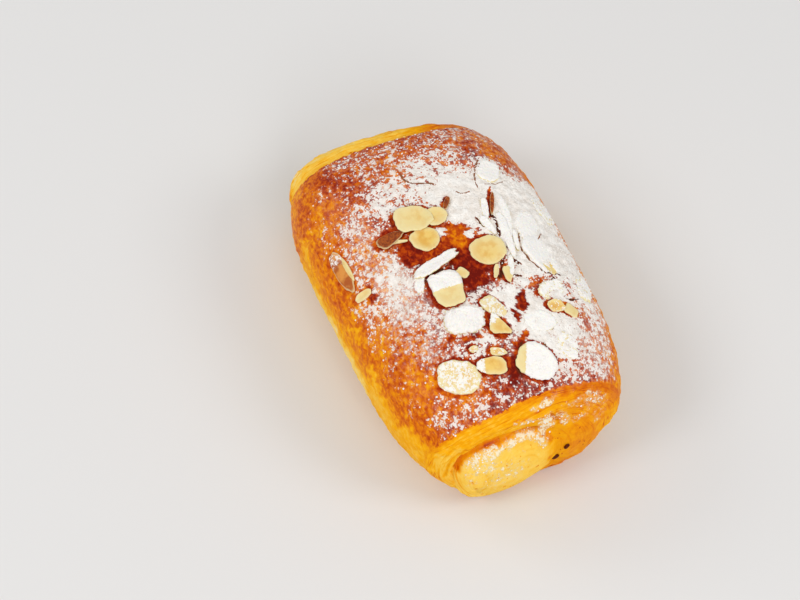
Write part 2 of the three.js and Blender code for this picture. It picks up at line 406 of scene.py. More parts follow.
bake = {
    "side": [(0.0, 0.24), (0.3, 0.22), (0.46, 0.28), (0.56, 0.36),       # share of the height, level
             (0.68, 0.46), (0.8, 0.54), (0.92, 0.67), (1.0, 0.73)],
    "base": 0.46, "baseUp": (0.03, 0.0),
    "rimEdge": 0.1, "rimStation": (0.93, 1.0),   # the browned skin is darkest along its edge
    "crownUp": (0.7, 0.86), "spotEdge": (1.5, 0.5),
    "spots": [
        (-44, 2, 14, 20, 0, 0.64), (4, -26, 34, 8, 0, 0.555), (-28, -28, 12, 8, 0, 0.58),
        (-48, -24, 9, 13, 0, 0.67), (0, -35, 60, 4.5, 0, 0.50), (40, -30, 14, 7, 0, 0.50),
        (-40, 31, 16, 7, 0, 0.60), (40, 31, 14, 6, 0, 0.66), (-4, -13, 6, 4, 0, 0.88),
        (9, 1, 10, 6, 0, 0.92), (-4, 3, 4, 3, 0, 0.56), (26, 11, 6, 4, 0, 0.86),
        (23.5, 18.5, 2.5, 2, 0, 0.88), (47, -20, 8, 10, 0, 0.55), (34, -20, 6, 5, 0, 0.66),
        (45.5, -0.5, 5, 3, 0, 0.88), (3, -28.8, 1.8, 1.6, 0, 0.86), (-34, 21.5, 3, 2, 0, 0.80),
    ],
    # pale where the roll did not brown: along, up, half length, half height, turn, amount
    "sideSpots": [
        (-42, 28, 14, 8, 0, 0.46), (-44, 36, 12, 5, 0, 0.58), (46, 22, 12, 8, 0, 0.27),
        (28, 23, 10, 8, 14, 0.24), (-14, 19, 14, 6, 8, 0.16), (14, 20, 10, 6, -6, 0.14),
        (2, 19, 14, 5, 0, 0.12), (24, 32, 5, 1.6, 12, 0.26), (-30, 29, 5, 1.8, -10, 0.30),
        (8, 34, 6, 1.4, 6, 0.32), (45, 34, 8, 4, 0, 0.56),
    ],
    "sideEdge": (1.3, 0.6), "sideBend": 1.3, "sideAcross": (20, 30),
    "sides": ((-1, 1.0), (1, 0.5)),      # the far side has the same patches, turned about and fainter
    "near": {"band": 0.28, "core": 0.15, "rim": 0.16},
    "far": {"band": 0.13, "core": 0.15, "rim": 0.07},
    "rimStep": (0.22, 0.0),
    "cheek": 0.39, "cheekAcross": (2, 20),
    "foot": 0.08, "footUp": (12, 3),
    "pale": 0.07, "paleAcross": (-12, -24), "paleUp": (34, 26),
    "coreStep": (0.75, 1), "coreAcross": (-26, -14),
    "runUp": (30, 20), "runStep": (0.6, 0.0),    # low down, skin and end run into each other
}
sugarCover = {
    "start": 0.5, "veil": 0.11, "bend": 0.55,
    "driftEdge": (1.45, 0.55),
    "drifts": [
        (-48, -31, 13, 9, 0, 0.08), (-48, -8, 7, 13, 0, 0.52), (-47, 14, 7, 12, 0, 0.42),
        (-44, 29, 14, 7, 0, 0.48), (-32, -29, 13, 6, 0, 0.26), (-36, -21, 10, 5, 0, 0.33),
        (-40, -9, 5, 4, 0, 0.40), (-40, 5, 6, 8, 0, 0.54), (-38, 23, 8, 6, 0, 0.25),
        (-26, -8, 8, 12, 0, 0.95), (-30, 6, 9, 9, 0, 1.15), (-29, 15, 10, 5, 0, 0.9),
        (-24, 24, 8, 5, 0, 1.25), (-30, 32, 12, 5, 0, 0.2), (-22, -22, 8, 5, 0, 0.64),
        (-16, -29, 10, 4, 0, 0.46), (0, -29, 14, 5, 0, 0.62), (4, -21, 11, 6, 0, 0.95),
        (17, -20, 9, 6, 0, 0.74), (22, -30, 11, 5, 0, 0.32), (31, -20, 9, 7, 0, 0.50),
        (40, -31, 14, 8, 0, 0.22), (48, -20, 5, 8, 0, 0.53), (-16, 10, 10, 10, 0, 1.6),
        (-2, 25, 22, 12, 0, 1.8), (25, -8, 9, 8, 0, 0.95), (35, -7, 4, 6, 0, 1.0),
        (26, 5, 9, 6, 0, 1.3), (30, 18, 15, 12, 0, 1.45), (22, 20, 4, 5, 0, 0.36),
        (41, 15, 9, 10, 0, 1.35), (50, 18, 4, 10, 0, 0.67), (36, 31, 16, 5, 0, 0.74),
        (8, 34, 24, 5, 0, 1.4), (49, 27, 6, 8, 0, 0.71), (49, -6, 4, 7, 0, 0.36),
    ],
    "filmEdge": (1.4, 0.5),
    "film": [                    # where a thin veil lies between the specks
        (20, -22, 16, 8, 0, 0.42), (5, -21, 12, 6, 0, 0.66), (-10, -24, 16, 5, 0, 0.36),
        (-44, 26, 12, 9, 0, 0.42), (4, 34, 44, 5, 0, 0.5), (46, 28, 10, 7, 0, 0.4),
        (28, 6, 14, 10, 0, 0.3),
    ],
    "ragged": 1.6, "raggedBend": 0.5, "raggedEdge": (1.2, 0.85),
    "bare": [
        (-5, -13, 5, 4.5, 0, 0.0), (-1.5, -5, 3, 8, 0, 0.0), (-4, 3, 6.5, 5, 0, 0.0),
        (8, 1.5, 9, 5, 0, 0.0), (-16, -13, 4.5, 1.5, 0, 0.0), (-11, -20.5, 1.6, 1.6, 0, 0.0),
        (26, 12, 3.9, 2.0, -8, 0.0), (29, 8, 3.2, 0.9, 0, 0.0), (37.2, 6, 1.3, 3.2, 25, 0.0),
        (44.5, -0.6, 4, 2, 0, 0.02), (23, 18.6, 1.8, 1.5, -40, 0.0), (20.5, 19.8, 1.8, 0.8, -15, 0.1),
        (3, -29, 1.6, 1.6, 0, 0.0), (29.3, -13.5, 1.0, 1.6, 0, 0.0), (31.2, -8.6, 1.6, 3, 0, 0.15),
    ],
    "lumps": [
        (-4.2, 6.3, 1.9, 1.5, 0, 1.7), (-7.5, -0.3, 1.8, 1.0, 0, 1.7), (-12.8, 6, 3.2, 2.6, 0, 1.7),
    ],
    "sideFade": (39.5, 33.5), "sideLeast": 0.05,
    "sideShift": 1.2,            # it lies a little further down towards +Y
    "up": (26, 40), "rim": (-0.5, 0.3), "crownFrom": 25,
}
slits = {                        # thin bare gaps between sugared flakes, coloured dark as painted shade in them: half width, bent line
    "near": (1.3, 0.5), "reach": 3.0, "none": 9.0,
    "lines": [
        (0.4, [(-8.3, 16.2), (-6.5, 16.9), (-4.5, 16.6), (-2, 15.9), (0, 15.5)]),
        (0.16, [(-30.8, 22), (-28, 19.8), (-25, 18.2), (-22.5, 17.3), (-20.5, 17)]),
        (0.14, [(0.5, 22.2), (3, 21), (6, 20.2)]),
        (0.2, [(6, 20.2), (8, 19.9), (10, 20.2), (12.5, 21), (15, 22), (17.5, 23.3)]),
        (0.3, [(16.5, 24.2), (17.8, 24.6), (18.6, 25.6), (19, 27.4)]),
        (0.1, [(2.7, 28.8), (4.4, 27.2), (6.4, 26.3)]),
        (0.28, [(-8.2, 11.5), (-6.5, 11.7), (-4.8, 12.3)]),
        (0.35, [(20.4, 24.9), (21.2, 23.4), (22.3, 21.8)]),
        (0.3, [(28.4, 26.4), (28.9, 27.6), (28.7, 29.3)]),
        (0.08, [(-20.2, 20.5), (-19.8, 23.6), (-20.3, 26)]),
        (0.2, [(41.5, 12.1), (43.4, 12.3), (45, 13), (47, 13.6)]),
        (0.17, [(-33.5, -3.6), (-31.4, -3.4), (-29.6, -2), (-28.6, 0), (-27.4, 2.4), (-26.4, 4)]),
        (0.3, [(15.4, 12.9), (16, 14), (16.4, 15.2)]),
        (0.2, [(45.8, 17.6), (46.6, 19.2), (47.2, 20.6)]),
        (0.35, [(4.3, 16.5), (5.4, 16.2)]),
        (0.45, [(10.2, 15.8), (11, 16.4), (12, 16.8)]),
        (0.12, [(-20.4, 9.9), (-19.4, 10.6), (-18.8, 13)]),
        (0.3, [(4.9, -10.2), (5.1, -7), (4.6, -4)]),
        (0.25, [(7.2, -13), (6.3, -10.4)]),
        (0.4, [(38.8, 5.6), (41, 3.4), (43.4, 1.8), (46, 1), (47.6, 1.4)]),
        (0.5, [(9.4, 12.5), (12, 10.8), (14.8, 9)]),
        (0.3, [(36.2, 15.8), (37, 16.5)]),
        (0.15, [(31.6, 10), (33.2, 10.4)]),
        (0.5, [(-4.4, 24.5), (-3.2, 24.1)]),
    ],
}
nearSugar = {                    # on the near end, across and up
    "start": 0.03, "startUp": (12, 20), "bend": 0.5, "edge": (1.5, 0.5), "film": 0.3,
    "spots": [
        (-12, 17, 10, 7, 0, 0.3), (-16.5, 26.0, 5.5, 1.8, 12, 0.85), (-8, 28.0, 8, 1.2, 0, 0.95),
        (0, 27.4, 4, 1.3, -20, 0.9), (4, 24.5, 1.6, 3.2, 25, 0.7), (5, 31.5, 2.6, 4.2, 0, 0.95),
        (10.6, 31, 1.7, 3.2, 10, 0.8), (4.5, 39, 4.5, 1.0, 0, 0.5), (-2, 35.4, 5, 0.8, 0, 0.45),
        (15, 36, 4, 1.2, 0, 0.42), (21, 33, 5, 2.6, -20, 0.42), (16, 29, 5, 1.6, 0, 0.32),
        (24, 26, 3, 4, 0, 0.3), (-22.5, 20, 1.4, 4, 0, 0.3), (-17, 23, 4.5, 2.6, 10, 0.6),
        (-6, 24, 6, 1.2, 0, 0.14),
    ],
}
dents = {                        # on the near end, and fainter on the far one, in places across and up; the dents are also painted darker, as painted shade in them
    "crackEdge": (0.9, 0.1),
    "cracks": [                  # bent line, depth
        ([(6.5, 35.0), (7.6, 32.6), (9.3, 29.5)], 0.5),
        ([(8.6, 35.2), (10.2, 32.8)], 0.35),
        ([(-24.9, 20), (-24.4, 22.4), (-23.2, 25), (-21, 27.2), (-18, 28.7), (-15.5, 29.1)], 0.7),
        ([(-15.5, 29.0), (-10.8, 29.0)], 1.1),
        ([(-10.8, 29.8), (-5, 30.2), (0, 29.8), (2.4, 28.8)], 0.45),
        ([(2.4, 28.8), (4, 25.6), (6.4, 21.6)], 0.35),
        ([(-28.5, 18), (-27.8, 23), (-25.6, 27.5), (-22, 30.6)], 0.28),
        ([(5.2, 14.8), (6.2, 12.6), (7.4, 8)], 0.5),
    ],
    "pitEdge": (0.55, 0.1), "pitDepth": 0.5,
    "pits": [(-20, 7.5), (-16.5, 6.3), (-12.5, 15.5), (-9, 15.8),
             (-5.5, 13), (-21.5, 17), (-14, 10), (-18, 11.5)],
    "farShare": 0.6, "noSugar": (0.2, 0.5),
}


def spotted(value, first, second, spots, edge):      # lays each spot over the value so far
    for along, across, halfLong, halfWide, turn, amount in spots:
        c, s = math.cos(math.radians(turn)), math.sin(math.radians(turn))
        u = ((first - along) * c + (second - across) * s) / halfLong
        v = ((second - across) * c - (first - along) * s) / halfWide
        value = value + (amount - value) * ease(*edge, np.hypot(u, v))
    return value


def lineDistance(first, second, start, end):
    a, b = np.array(start, float), np.array(end, float)
    run = b - a
    t = np.clip(((first - a[0]) * run[0] + (second - a[1]) * run[1]) / (run @ run), 0, 1)
    return np.hypot(first - a[0] - t * run[0], second - a[1] - t * run[1])


def slitField(x, y):             # side of the nearest slit, signed, how near it is, and its half width
    side, best, wide = np.full(x.shape, slits["none"]), np.full(x.shape, slits["none"]), 0 * x
    for half, line in slits["lines"]:
        for start, end in zip(line, line[1:]):
            far = lineDistance(x, y, start, end)
            run = np.array(end, float) - start
            signed = ((x - start[0]) * run[1] - (y - start[1]) * run[0]) / np.hypot(*run)
            side = np.where(far < best, signed, side)
            wide = np.where(far < best, half, wide)
            best = np.minimum(best, far)
    return np.clip(side, -slits["reach"], slits["reach"]), ease(*slits["near"], best), wide


def dentDepth(y, z):
    dent = 0 * y
    for line, depth in dents["cracks"]:
        for start, end in zip(line, line[1:]):
            dent = np.maximum(dent, depth * ease(*dents["crackEdge"], lineDistance(y, z, start, end)))
    for across, up in dents["pits"]:
        pit = ease(*dents["pitEdge"], np.hypot(y - across, z - up))
        dent = np.maximum(dent, dents["pitDepth"] * pit)
    return dent


def shelterShadowRing(x, y):              # 1 along the open flakes' sheltered edges, where no sugar could fall, shifted to one side; the dough also paints it darker as a painted shadow
    near = 0 * x
    for own in flakes:
        if own["sugar"] in (*thickSugar, "corner"):
            continue
        turn, square = math.radians(own["turn"]), own["square"]
        overX, overY = (far - at + flakeSeat["shelter"] for far, at in zip((x, y), own["at"]))
        a = overX * math.cos(turn) + overY * math.sin(turn)
        b = overY * math.cos(turn) - overX * math.sin(turn)
        halfLong, halfWide = (size / 2 + flakeSeat["shelterGrow"] for size in own["size"])
        away = (np.abs(a / halfLong) ** square + np.abs(b / halfWide) ** square) ** (1 / square)
        near = np.maximum(near, ease(1.0 + flakeSeat["shelterFade"] / halfWide, 1.0, away))
    return near


waves = {                        # share, turns by the other way, turns by its own, start
    "first": [(1.0, 0.55, 0.0, 1.3), (0.6, 1.35, 0.8, 0.0), (0.35, 2.9, -1.7, 0.0)],
    "second": [(1.0, 0.5, 0.0, 0.4), (0.6, 1.45, -0.7, 0.0), (0.35, 3.1, 1.5, 0.0)],
}


def bent(first, second, amount):         # small waves, so that no spot keeps a plain oval edge
    def wave(name, own, other):
        return sum(share * np.sin(byOther * other + byOwn * own + start)
                   for share, byOther, byOwn, start in waves[name])
    return (first + amount * wave("first", first, second),
            second + amount * wave("second", second, first))


def bakedLevel(points, station):
    x, y, z = points[..., 0], points[..., 1], points[..., 2]
    up = z / stationSizes(station)[1]
    level = np.interp(up, *zip(*bake["side"]))
    onCrown = ease(*bake["crownUp"], up)
    level += (spotted(level, x, y, bake["spots"], bake["spotEdge"]) - level) * onCrown
    for way, share in bake["sides"]:
        place = bent(-way * x, z, bake["sideBend"])
        patched = spotted(level, *place, bake["sideSpots"], bake["sideEdge"])
        level += (patched - level) * ease(*bake["sideAcross"], way * y) * share
    level += bake["rimEdge"] * ease(*bake["rimStation"], np.abs(station)) * onCrown
    return level + (bake["base"] - level) * ease(*bake["baseUp"], up)


def endLevels(levels, band, core, bandSteps, coreSteps):
    def cheek(points):
        return (bake["cheek"] - levels["band"]) * ease(*bake["cheekAcross"], points[..., 1])
    y, z = band[..., 1], band[..., 2]
    bandLevel = (levels["band"] + cheek(band) + bake["foot"] * ease(*bake["footUp"], z)
                 + levels["rim"] * ease(*bake["rimStep"], bandSteps)
                 - bake["pale"] * ease(*bake["paleAcross"], y) * ease(*bake["paleUp"], z))
    likeBand = ease(*bake["coreStep"], coreSteps) * ease(*bake["coreAcross"], core[..., 1])
    return bandLevel, levels["core"] + (levels["band"] - levels["core"]) * likeBand + cheek(core)


def sugarAt(points):             # cover and film
    x, y = bent(points[..., 0], points[..., 1], sugarCover["bend"])
    start, veil = sugarCover["start"] + 0 * x, sugarCover["veil"] + 0 * x
    cover = spotted(start, x, y, sugarCover["drifts"], sugarCover["driftEdge"])
    film = spotted(veil, x, y, sugarCover["film"], sugarCover["filmEdge"])
    finer = sugarCover["ragged"]
    raggedX, raggedY = (part / finer for part in bent(finer * x, finer * y, sugarCover["raggedBend"]))
    for spots in (sugarCover["bare"], sugarCover["lumps"]):
        cover = spotted(cover, raggedX, raggedY, spots, sugarCover["raggedEdge"])
    least, side = sugarCover["sideLeast"], np.abs(y - sugarCover["sideShift"])
    cover = cover * (least + (1 - least) * ease(*sugarCover["sideFade"], side))
    return cover * ease(*sugarCover["up"], points[..., 2]), film


def endToEnd(nearCore, nearBand, middle, farBand, farCore):      # from core to core
    return np.concatenate([nearCore, nearBand[::-1], middle, farBand, farCore[::-1]])


def closedFaces(total):          # quads between the rows, and a fan on each end's last row
    count = roll["columns"]
    row, column = np.meshgrid(np.arange(total - 1), np.arange(count), indexing="ij")
    follow = (column + 1) % count
    quads = np.stack([row * count + column, (row + 1) * count + column,
                      (row + 1) * count + follow, row * count + follow], -1).reshape(-1, 4)
    ring = np.arange(count)
    nextRing = (ring + 1) % count
    last = (total - 1) * count
    nearFan = np.stack([0 * ring + total * count, ring, nextRing], -1)
    farFan = np.stack([0 * ring + total * count + 1, last + nextRing, last + ring], -1)
    return quads.tolist() + nearFan.tolist() + farFan.tolist()


def addDough(material):
    angles = ringAngles()
    skinSteps = np.linspace(1, -1, roll["skinRows"])[:, None]
    bandSteps = (np.arange(1, roll["bandRows"] + 1) / roll["bandRows"])[:, None] ** roll["bandCrowd"]
    coreSteps = (np.arange(1, roll["coreRows"]) / roll["coreRows"])[:, None]
    skin = skinPoint(skinSteps, angles)
    nearBand, farBand = (bandPoint(end, bandSteps, angles) for end in (nearEnd, farEnd))
    nearCore, farCore = (corePoint(end, coreSteps, angles) for end in (nearEnd, farEnd))
    rows = endToEnd(nearCore, nearBand, skin, farBand, farCore)
    x, y, z = rows[..., 0], rows[..., 1], rows[..., 2]

    def awayFromRim(*rings):     # distance along each column from the rim outwards
        gaps = np.linalg.norm(np.diff(np.concatenate(rings), axis=0), axis=-1)
        return np.cumsum(gaps, axis=0)
    nearAway = awayFromRim(skin[:1], nearBand, nearCore[::-1])
    farAway = awayFromRim(skin[-1:], farBand, farCore[::-1])
    inside = (1 - np.abs(skinSteps)) * roll["rimHalf"] + 0 * angles
    inside = inside - endRound["farSkin"] * ease(*endRound["farStation"], skinSteps)
    fromRim = np.concatenate([-nearAway[::-1], inside, -farAway - endRound["farSkin"]])
    lap = endRound["lap"] * ease(*endRound["lapAcross"], y) * ease(*endRound["lapUp"], z)
    fromRim = fromRim + lap * ease(*endRound["lapAlong"], x)
    onNear = ease(*endRound["nearFrom"], fromRim) * (x > 0)
    onFar = ease(*endRound["farFrom"], fromRim) * (x < 0)
    onCrown = (fromRim > 0) * (z > sugarCover["crownFrom"])

    nearBandLevel, nearCoreLevel = endLevels(bake["near"], nearBand, nearCore, bandSteps, coreSteps)
    farBandLevel, farCoreLevel = endLevels(bake["far"], farBand, farCore, bandSteps, coreSteps)
    skinLevel = bakedLevel(skin, skinSteps)
    runIn = ease(*bake["runUp"], skin[:1, :, 2]) * ease(*bake["runStep"], bandSteps)
    nearBandLevel += (skinLevel[:1] - nearBandLevel) * runIn
    farBandLevel += (skinLevel[-1:] - farBandLevel) * runIn
    ends = len(bandSteps) + len(coreSteps)
    skinBrown = np.pad(skinLevel, ((ends, ends), (0, 0)), mode="edge")
    between = np.where(skinSteps > 0, nearBandLevel[:1], farBandLevel[:1])
    endBrown = endToEnd(nearCoreLevel, nearBandLevel, between, farBandLevel, farCoreLevel)

    sugar, film = sugarAt(rows)
    sugar *= ease(*sugarCover["rim"], fromRim)
    nearStart = nearSugar["start"] * ease(*nearSugar["startUp"], z)
    bentPlace = bent(y, z, nearSugar["bend"])
    sugar += spotted(nearStart, *bentPlace, nearSugar["spots"], nearSugar["edge"]) * onNear
    film += (nearSugar["film"] - film) * onNear
    nearY, nearZ, nearWide, nearHigh = nearEnd["core"]
    farY, farZ, farWide, farHigh = farEnd["core"]
    likeNear = dentDepth(nearY + (y - farY) * nearWide / farWide,
                         nearZ + (z - farZ) * nearHigh / farHigh)
    dent = dentDepth(y, z) * onNear + dents["farShare"] * likeNear * onFar
    sugar *= 1 - ease(*dents["noSugar"], dent)
    # beside the open flakes: no sugar, and a darker crust that is a painted shadow of the flakes
    shelterAndShadow = shelterShadowRing(x, y) * onCrown
    sugar *= 1 - shelterAndShadow
    skinBrown += flakeSeat["shelterShadowBrown"] * shelterAndShadow
    slitSide, slitNear, slitWide = slitField(x, y)

    seam = np.linalg.norm(np.diff(rows, axis=1, prepend=rows[:, :1]), axis=-1)
    girth = np.cumsum(seam, axis=1)
    top = np.argmin(np.abs(angles[0] - math.pi / 2))
    girth = girth - girth[:, [top]]

    tops = [corePoint(end, np.float64(0), angles)[0] for end in (nearEnd, farEnd)]
    points = np.concatenate([rows.reshape(-1, 3), tops[0][:1], tops[1][:1]]) * mm
    piece = newPiece("croissantDough", points.tolist(), closedFaces(len(rows)))
    layers = {                   # values on the rows, on the near top and on the far top
        "skinBrown": (skinBrown, 0, 0),
        "endBrown": (endBrown, bake["near"]["core"], bake["far"]["core"]),
        "sugar": (sugar, 0, 0), "film": (film, 0, 0), "dent": (dent, 0, 0), "girth": (girth, 0, 0),
        "fromRim": (fromRim, -nearAway.max(), -farAway.max()),
        "slitSide": (slitSide, slits["none"], slits["none"]),
        "slitNear": (slitNear * onCrown, 0, 0), "slitWide": (slitWide, 0, 0),
    }
    for name, (values, near, far) in layers.items():
        store(piece.data, name, np.append(values.ravel(), (near, far)))
    bakeTree(piece, reliefTree(material), relief)
    smooth(piece)
    print("dough:", len(piece.data.polygons), "faces")
    return piece


# blisters, wrinkles, layer edges and sugar, raised on the dough's mesh

relief = {
    "Blister Size": 3.0, "Blister Height": 0.32,
    "Wrinkle Size": 1.6, "Wrinkle Height": 0.3,
    "Lump Size": 9.0, "Lump Height": 0.5,
    "Layer Pitch": 2.3, "Layer Height": 0.08,
    "Pore Size": 2.4, "Pore Depth": 0.3,
    "Crag Size": 6.0, "Crag Height": 0.4,
    "Sugar Size": 2.4, "Sugar Height": 0.6,
}
reliefDetail = {"Blister": 1.0, "Wrinkle": 3.0, "Lump": 1.0, "Pore": 0.0, "Crag": 2.0, "Sugar": 3.0}
reliefCut = {                    # where in the noise a patch starts, and where it is full
    "Blister": (0.04, 0.22), "Pore": (-0.16, -0.28), "Crag": (0.03, 0.1), "Sugar": (-0.2, 0.2),
    "stretch": 0.55,             # wrinkles run along the roll
    "layerWaver": (9.0, 3.0), "layerSway": 4.0, "layerBreak": (5.0, 1.0), "layerCut": (0.45, 0.65),
}
reliefPlace = {                  # from nothing to full, by distance in from the skin's rim
    "skin": (-0.2, 0.6), "end": (-0.3, -1.0), "pore": (-7.0, -12.0),
    "cragOut": (-1.0, -3.0), "cragIn": (-14.0, -10.0),
    "aboveBase": (0.6, 3.5),     # this one by height
}


def reliefTree(material):
    tree, given, result = newGeometryTree("crustRelief", relief)
    place = scaled(put(tree, "GeometryNodeInputPosition"), 1 / mm)
    along, _, up = apart(place)
    fromRim = stored(tree, "fromRim")
    onSkin, onEnd, onCore, cragOut, cragIn = (spread(fromRim, *reliefPlace[name])
                                              for name in ("skin", "end", "pore", "cragOut", "cragIn"))

    def sized(name, where=place):        # noise around zero, its size from the tree's input
        scale = 1.0 / given[name + " Size"]
        noise = {"Vector": where, "Scale": scale, "Detail": reliefDetail[name]}
        return put(tree, "ShaderNodeTexNoise", noise) - 0.5

    def patches(name):
        return spread(sized(name), *reliefCut[name])
    stretched = joined(along * reliefCut["stretch"], stored(tree, "girth"))
    waver = grain(place, *reliefCut["layerWaver"]) * reliefCut["layerSway"]
    ridges = calc("SINE", (fromRim / given["Layer Pitch"] + waver) * (2 * math.pi))
    broken = spread(grain(place, *reliefCut["layerBreak"]), *reliefCut["layerCut"])
    lying = calc("MINIMUM", stored(tree, "sugar"), 1.0)

    height = patches("Blister") * onSkin * given["Blister Height"] - stored(tree, "dent")
    height += sized("Wrinkle", stretched) * onSkin * given["Wrinkle Height"]
    height += sized("Lump") * given["Lump Height"]
    height += ridges * broken * onEnd * given["Layer Height"]
    height -= patches("Pore") * onCore * given["Pore Depth"]
    height += patches("Crag") * cragOut * cragIn * given["Crag Height"]
    height += patches("Sugar") * lying * given["Sugar Height"]
    height *= spread(up, *reliefPlace["aboveBase"])
    offset = scaled(put(tree, "GeometryNodeInputNormal"), height * mm)
    moved = put(tree, "GeometryNodeSetPosition", {"Geometry": given["Geometry"], "Offset": offset})
    endTree(moved, result, material)
    return tree


# almond flakes

flake = {
    "Length": 12.0, "Width": 9.0, "Thickness": 0.7,
    "Taper": 0.1, "Square": 2.3, "Wobble": 0.2, "Sides": 7.0, "Flat": 0.26, "Crumbly": 0.15,
    "Cup": 0.35, "Seed": 0.0,
}
flakeSheet = {
    "rows": 29, "columns": 25, "crowd": 0.45,    # rings are closer at the edge
    "ragged": (0.8, 3.0, 0.6), "crumbs": (0.22, 2.0), "wave": (1.1, 1.0),
    "leastRadius": 0.01, "leastCorner": 0.3, "turnStart": 10.0,
    "edgePower": 14.0, "weld": 0.002,
}
flakeSeat = {
    "sink": 0.2, "bend": 0.8, "step": 3.0,
    # the ring beside each open flake is shifted to one side, loses its sugar and is painted browner as
    # the flake's painted shadow
    "shelter": 0.5, "shelterGrow": 0.1, "shelterFade": 0.5, "shelterShadowBrown": 0.1,
    "draw": 7, "cup": (-0.3, 1.0), "seedStep": 3.7, "sides": 5.0,    # and up to 3 sides more
    "sugarWobble": 1.3, "sugarCrumbly": 0.9,     # a thickly sugared flake has a rougher outline
    # uneven sugar: height, and the turns of two waves by length and width
    "waves": [(0.3, 0.8, 0.0, 0.0, 0.9), (0.45, 2.9, 1.7, -1.1, 3.3)],
    "topFrom": (0.3, 0.7), "sugarEdge": (1.0, 0.85), "toneSlope": 0.4,
}
thickSugar = ("all", "heap", "most")
usual = {"tilt": 0, "seat": 0, "skin": 0.0, "sugar": "bare", "tone": 0.1, "square": 2.3, "taper": 0.1}


# one flake: place, size, heading from +X, and what differs from the usual
def laid(along, across, long, wide, turn=0, **changes):
    return {**usual, "at": (along, across), "size": (long, wide), "turn": turn, **changes}


flakes = [
    laid(-15.8, -7.2, 12.6, 10.2, 75, seat=0.9, tone=0.38, square=2.2, taper=0.18),
    laid(-13.9, -0.4, 8, 7, 100, seat=0.5, tone=0.5, square=2.1),
    laid(-7.4, -6.8, 9.4, 9.2, seat=0.1, tone=0.9, square=2.1),
    laid(-12.6, -16.4, 9.8, 5.4, 98, tilt=-18, seat=0.4, skin=1.0, taper=0.6),
    laid(-10.5, -15.4, 7.6, 1.2, 74, seat=0.5),
    laid(-17.3, 4.9, 5.6, 1.8, -35, tilt=20, seat=0.2, skin=1.0),
    laid(4.2, 9.7, 11.4, 11.4, tilt=6, seat=0.4, tone=0.6, square=2.2),
    laid(12.5, -8, 13.6, 10, -4, seat=0.3, tone=0.25, sugar="half", square=4),
    laid(2.7, -7.6, 17, 4.4, 105, tilt=-12, seat=0.6, sugar="all", square=3.4),
    laid(6.6, -14.9, 8, 3.4, -22, tilt=10, seat=0.1, sugar="all", square=3),
    laid(25.1, -7.6, 12.8, 9.8, 78, seat=0.2, sugar="heap", square=3, taper=0.12),
    laid(9, -1.3, 4.2, 3.4, 30, seat=0.1, tone=0.3, square=3.5),
    laid(24.2, 2.6, 9, 5.4, 28, tone=0.3, sugar="some", square=3),
    laid(31, 1.2, 9.6, 6.4, 20, seat=0.4, tone=0.6, sides=3.0, flat=0.42, sugar="tip"),
    laid(41.4, -16.8, 13.4, 11.4, 62, tone=0.5, sugar="dusty", square=2.3),
    laid(42.2, -6.2, 9.6, 6, 72, seat=0.5, tone=0.9, sugar="tip", taper=-0.2, sides=5.0),
    laid(38.8, -2.4, 5.4, 2.8, 66, tone=0.7, sugar="some", taper=0.3),
    laid(35.2, -9.2, 3, 2.2, 100, tone=0.6, sugar="some"),
    laid(45.6, 7.8, 13.2, 11.6, 38, seat=0.1, sugar="crescent", tone=0.45, square=2.3),
    laid(12.8, 8.6, 5.6, 1.6, -27, tilt=25, seat=0.3),
    laid(14.8, 11.8, 6.6, 2.8, -12, seat=0.2, tone=0.4, taper=0.4),
    laid(12.2, 14, 8.4, 2, -20, tilt=14, seat=0.1, sugar="all"),
    laid(-4.4, 13.6, 9, 2.4, 14, tilt=14, seat=0.2, sugar="all", taper=0.4),
    laid(0.5, 17.7, 19.5, 3, -8, tilt=10, seat=0.2, sugar="all"),
    laid(-6.5, 20.6, 17, 3.2, -13, tilt=12, seat=0.1, sugar="all"),
    laid(-12.2, 18.5, 9.4, 1.4, -25, seat=0.3, skin=1.0),
    laid(10.6, 25.4, 17, 9.4, 12, tilt=-3, seat=-0.1, tone=0.7, sugar="corner", square=2.6),
    laid(-25.6, 23.2, 10.4, 7.8, -22, tilt=4, seat=-0.2, sugar="all", square=2.4),
    laid(23.8, 22.8, 10, 6, 104, tilt=8, seat=-0.15, sugar="most", square=2.6),
    laid(33.6, 14.3, 10.8, 7.4, 76, seat=-0.3, sugar="all", square=2.4),
    laid(30.2, 21.4, 6.2, 4.4, 64, tilt=18, seat=0.4, tone=1.0, sugar="few", sides=4.0, flat=0.38),
    laid(32.5, 25.5, 5.6, 4.2, 36, seat=0.2, tone=0.25, sides=4.0, flat=0.36),
    laid(-1, 25.8, 14.5, 8, -18, seat=-0.1, sugar="all"),
    laid(3.4, 19.6, 9, 1.5, -15, tilt=14, seat=0.35, sugar="all"),
    laid(-11, 15.4, 9, 2.2, -16, tilt=12, seat=0.2, sugar="all"),
    laid(43.5, 19.3, 10, 7, 20, seat=-0.2, tone=0.3, sugar="most"),
    laid(-11.6, -33.4, 17, 5.2, 2, tilt=-8, seat=0.3, skin=0.5, sugar="left", square=2.1),
    laid(-11.4, -31.9, 10, 1.8, 3, seat=0.2, tone=0.5),
    laid(0.3, -31.2, 6.6, 3, 92, seat=0.1, tone=0.3),
    laid(-8, 35, 12, 7.6, 15, seat=-0.1, tone=0.3, sugar="most"),
    laid(24, 34, 11, 7, -20, tone=0.3, sugar="most"),
]
